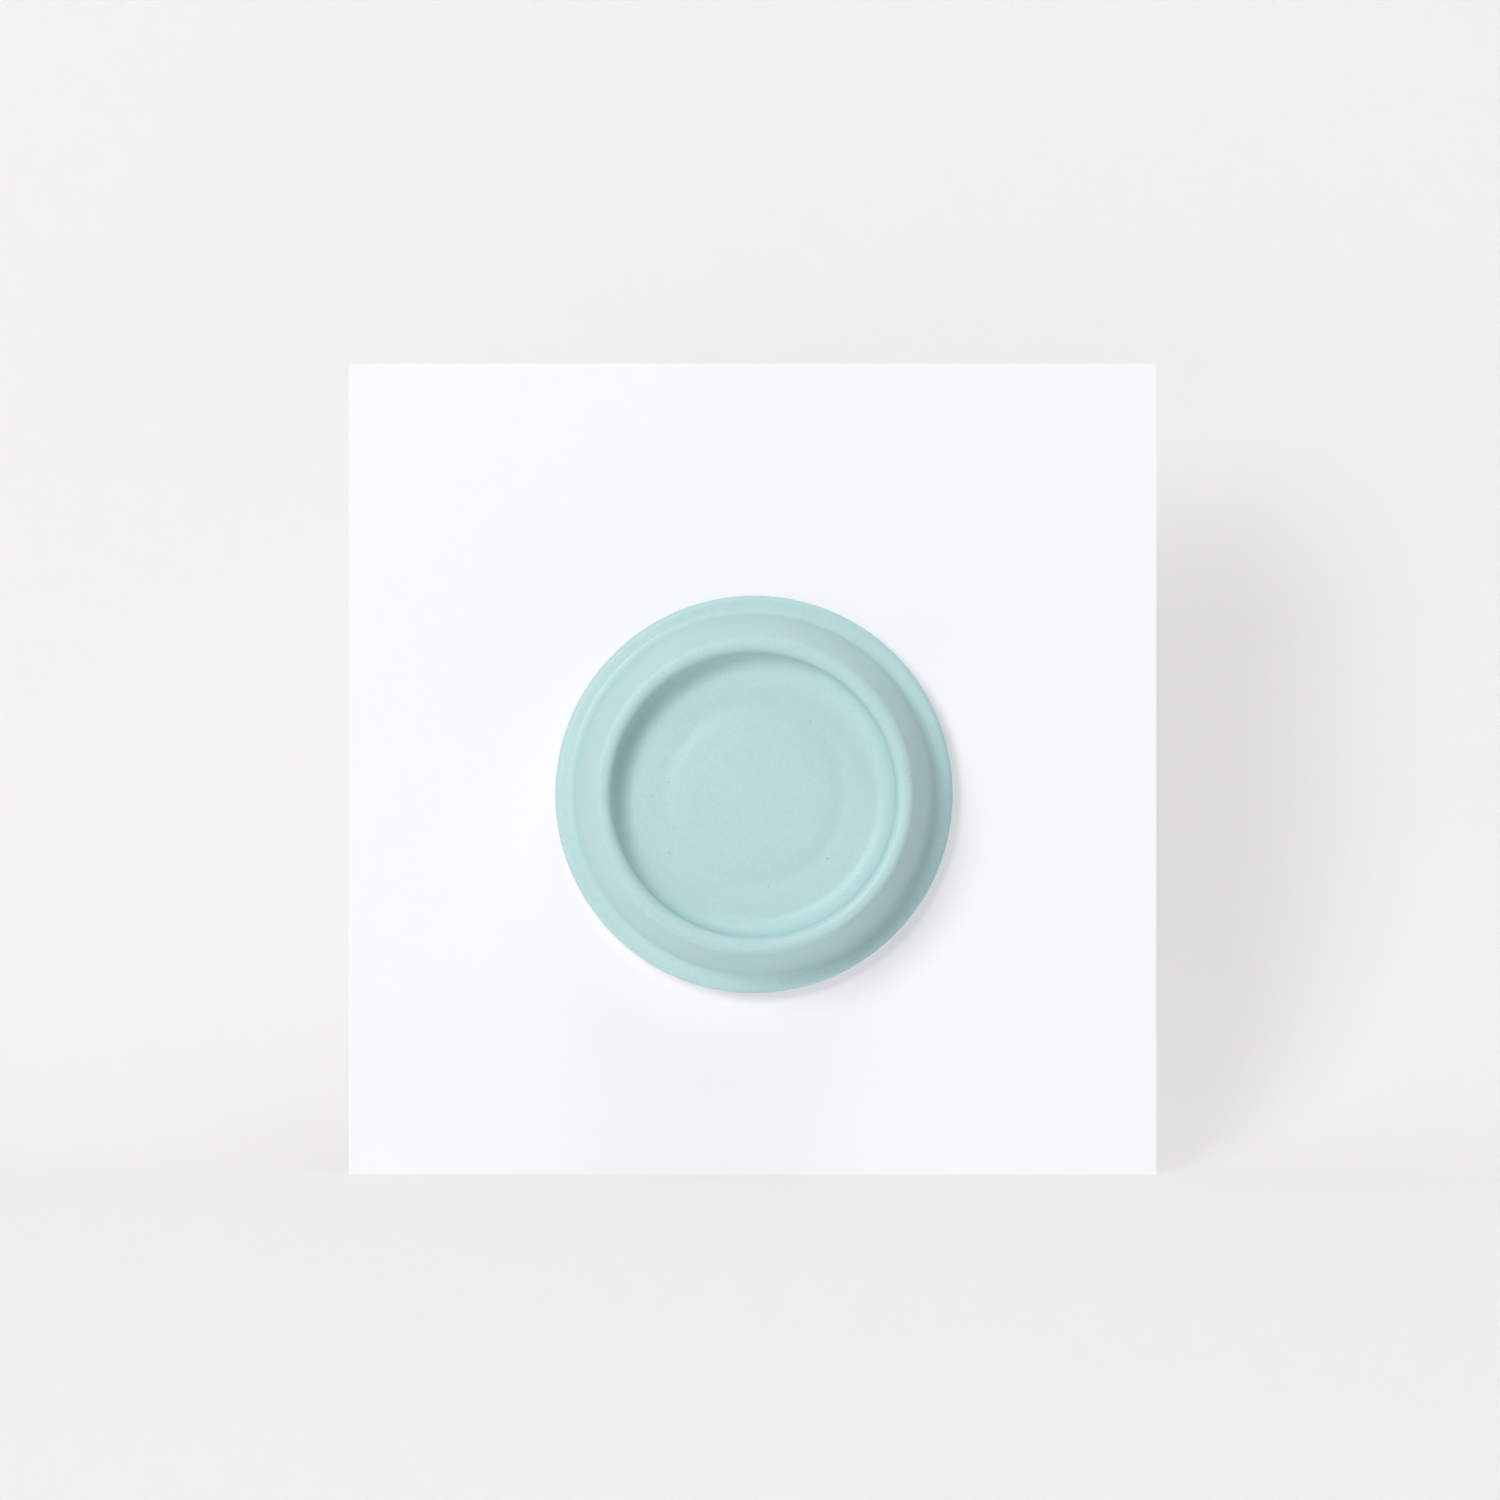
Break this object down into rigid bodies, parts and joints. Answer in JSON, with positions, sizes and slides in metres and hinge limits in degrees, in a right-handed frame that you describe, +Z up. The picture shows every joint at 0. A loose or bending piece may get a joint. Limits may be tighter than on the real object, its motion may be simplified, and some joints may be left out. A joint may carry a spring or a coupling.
{
  "type": "magnetic soap holder",
  "caption": "Round wall-mounted soap holder: a coved dish with a low dome and a rounded lip on a tapered flank and flange, a sealed magnet behind it and an adhesive pad.",
  "frame": {"origin": "centre of the adhesive pad's back face, where the holder meets the wall", "axes": "+Y along the holder's axis into the wall, so the dish opens towards -Y; +Z up; +X to the right as seen from the front"},
  "size_m": [0.049, 0.0127, 0.049],
  "materials": {
    "teal_plastic": "matte moulded recycled plastic, pale teal with a fine grain and a few dark specks",
    "cover_plastic": "matte moulded recycled plastic, pale teal",
    "nickel_plate": "bright nickel plate on a sintered magnet",
    "zinc_steel": "drawn steel, zinc plated",
    "black_rubber": "moulded nitrile rubber",
    "white_foam": "die-cut closed-cell foam with adhesive on both faces"
  },
  "bodies": {
    "root": {"housing": "teal_plastic", "magnet": "nickel_plate", "steel_cup": "zinc_steel", "seal_ring": "black_rubber", "back_cover": "cover_plastic", "adhesive_pad": "white_foam"}
  },
  "joints": []
}
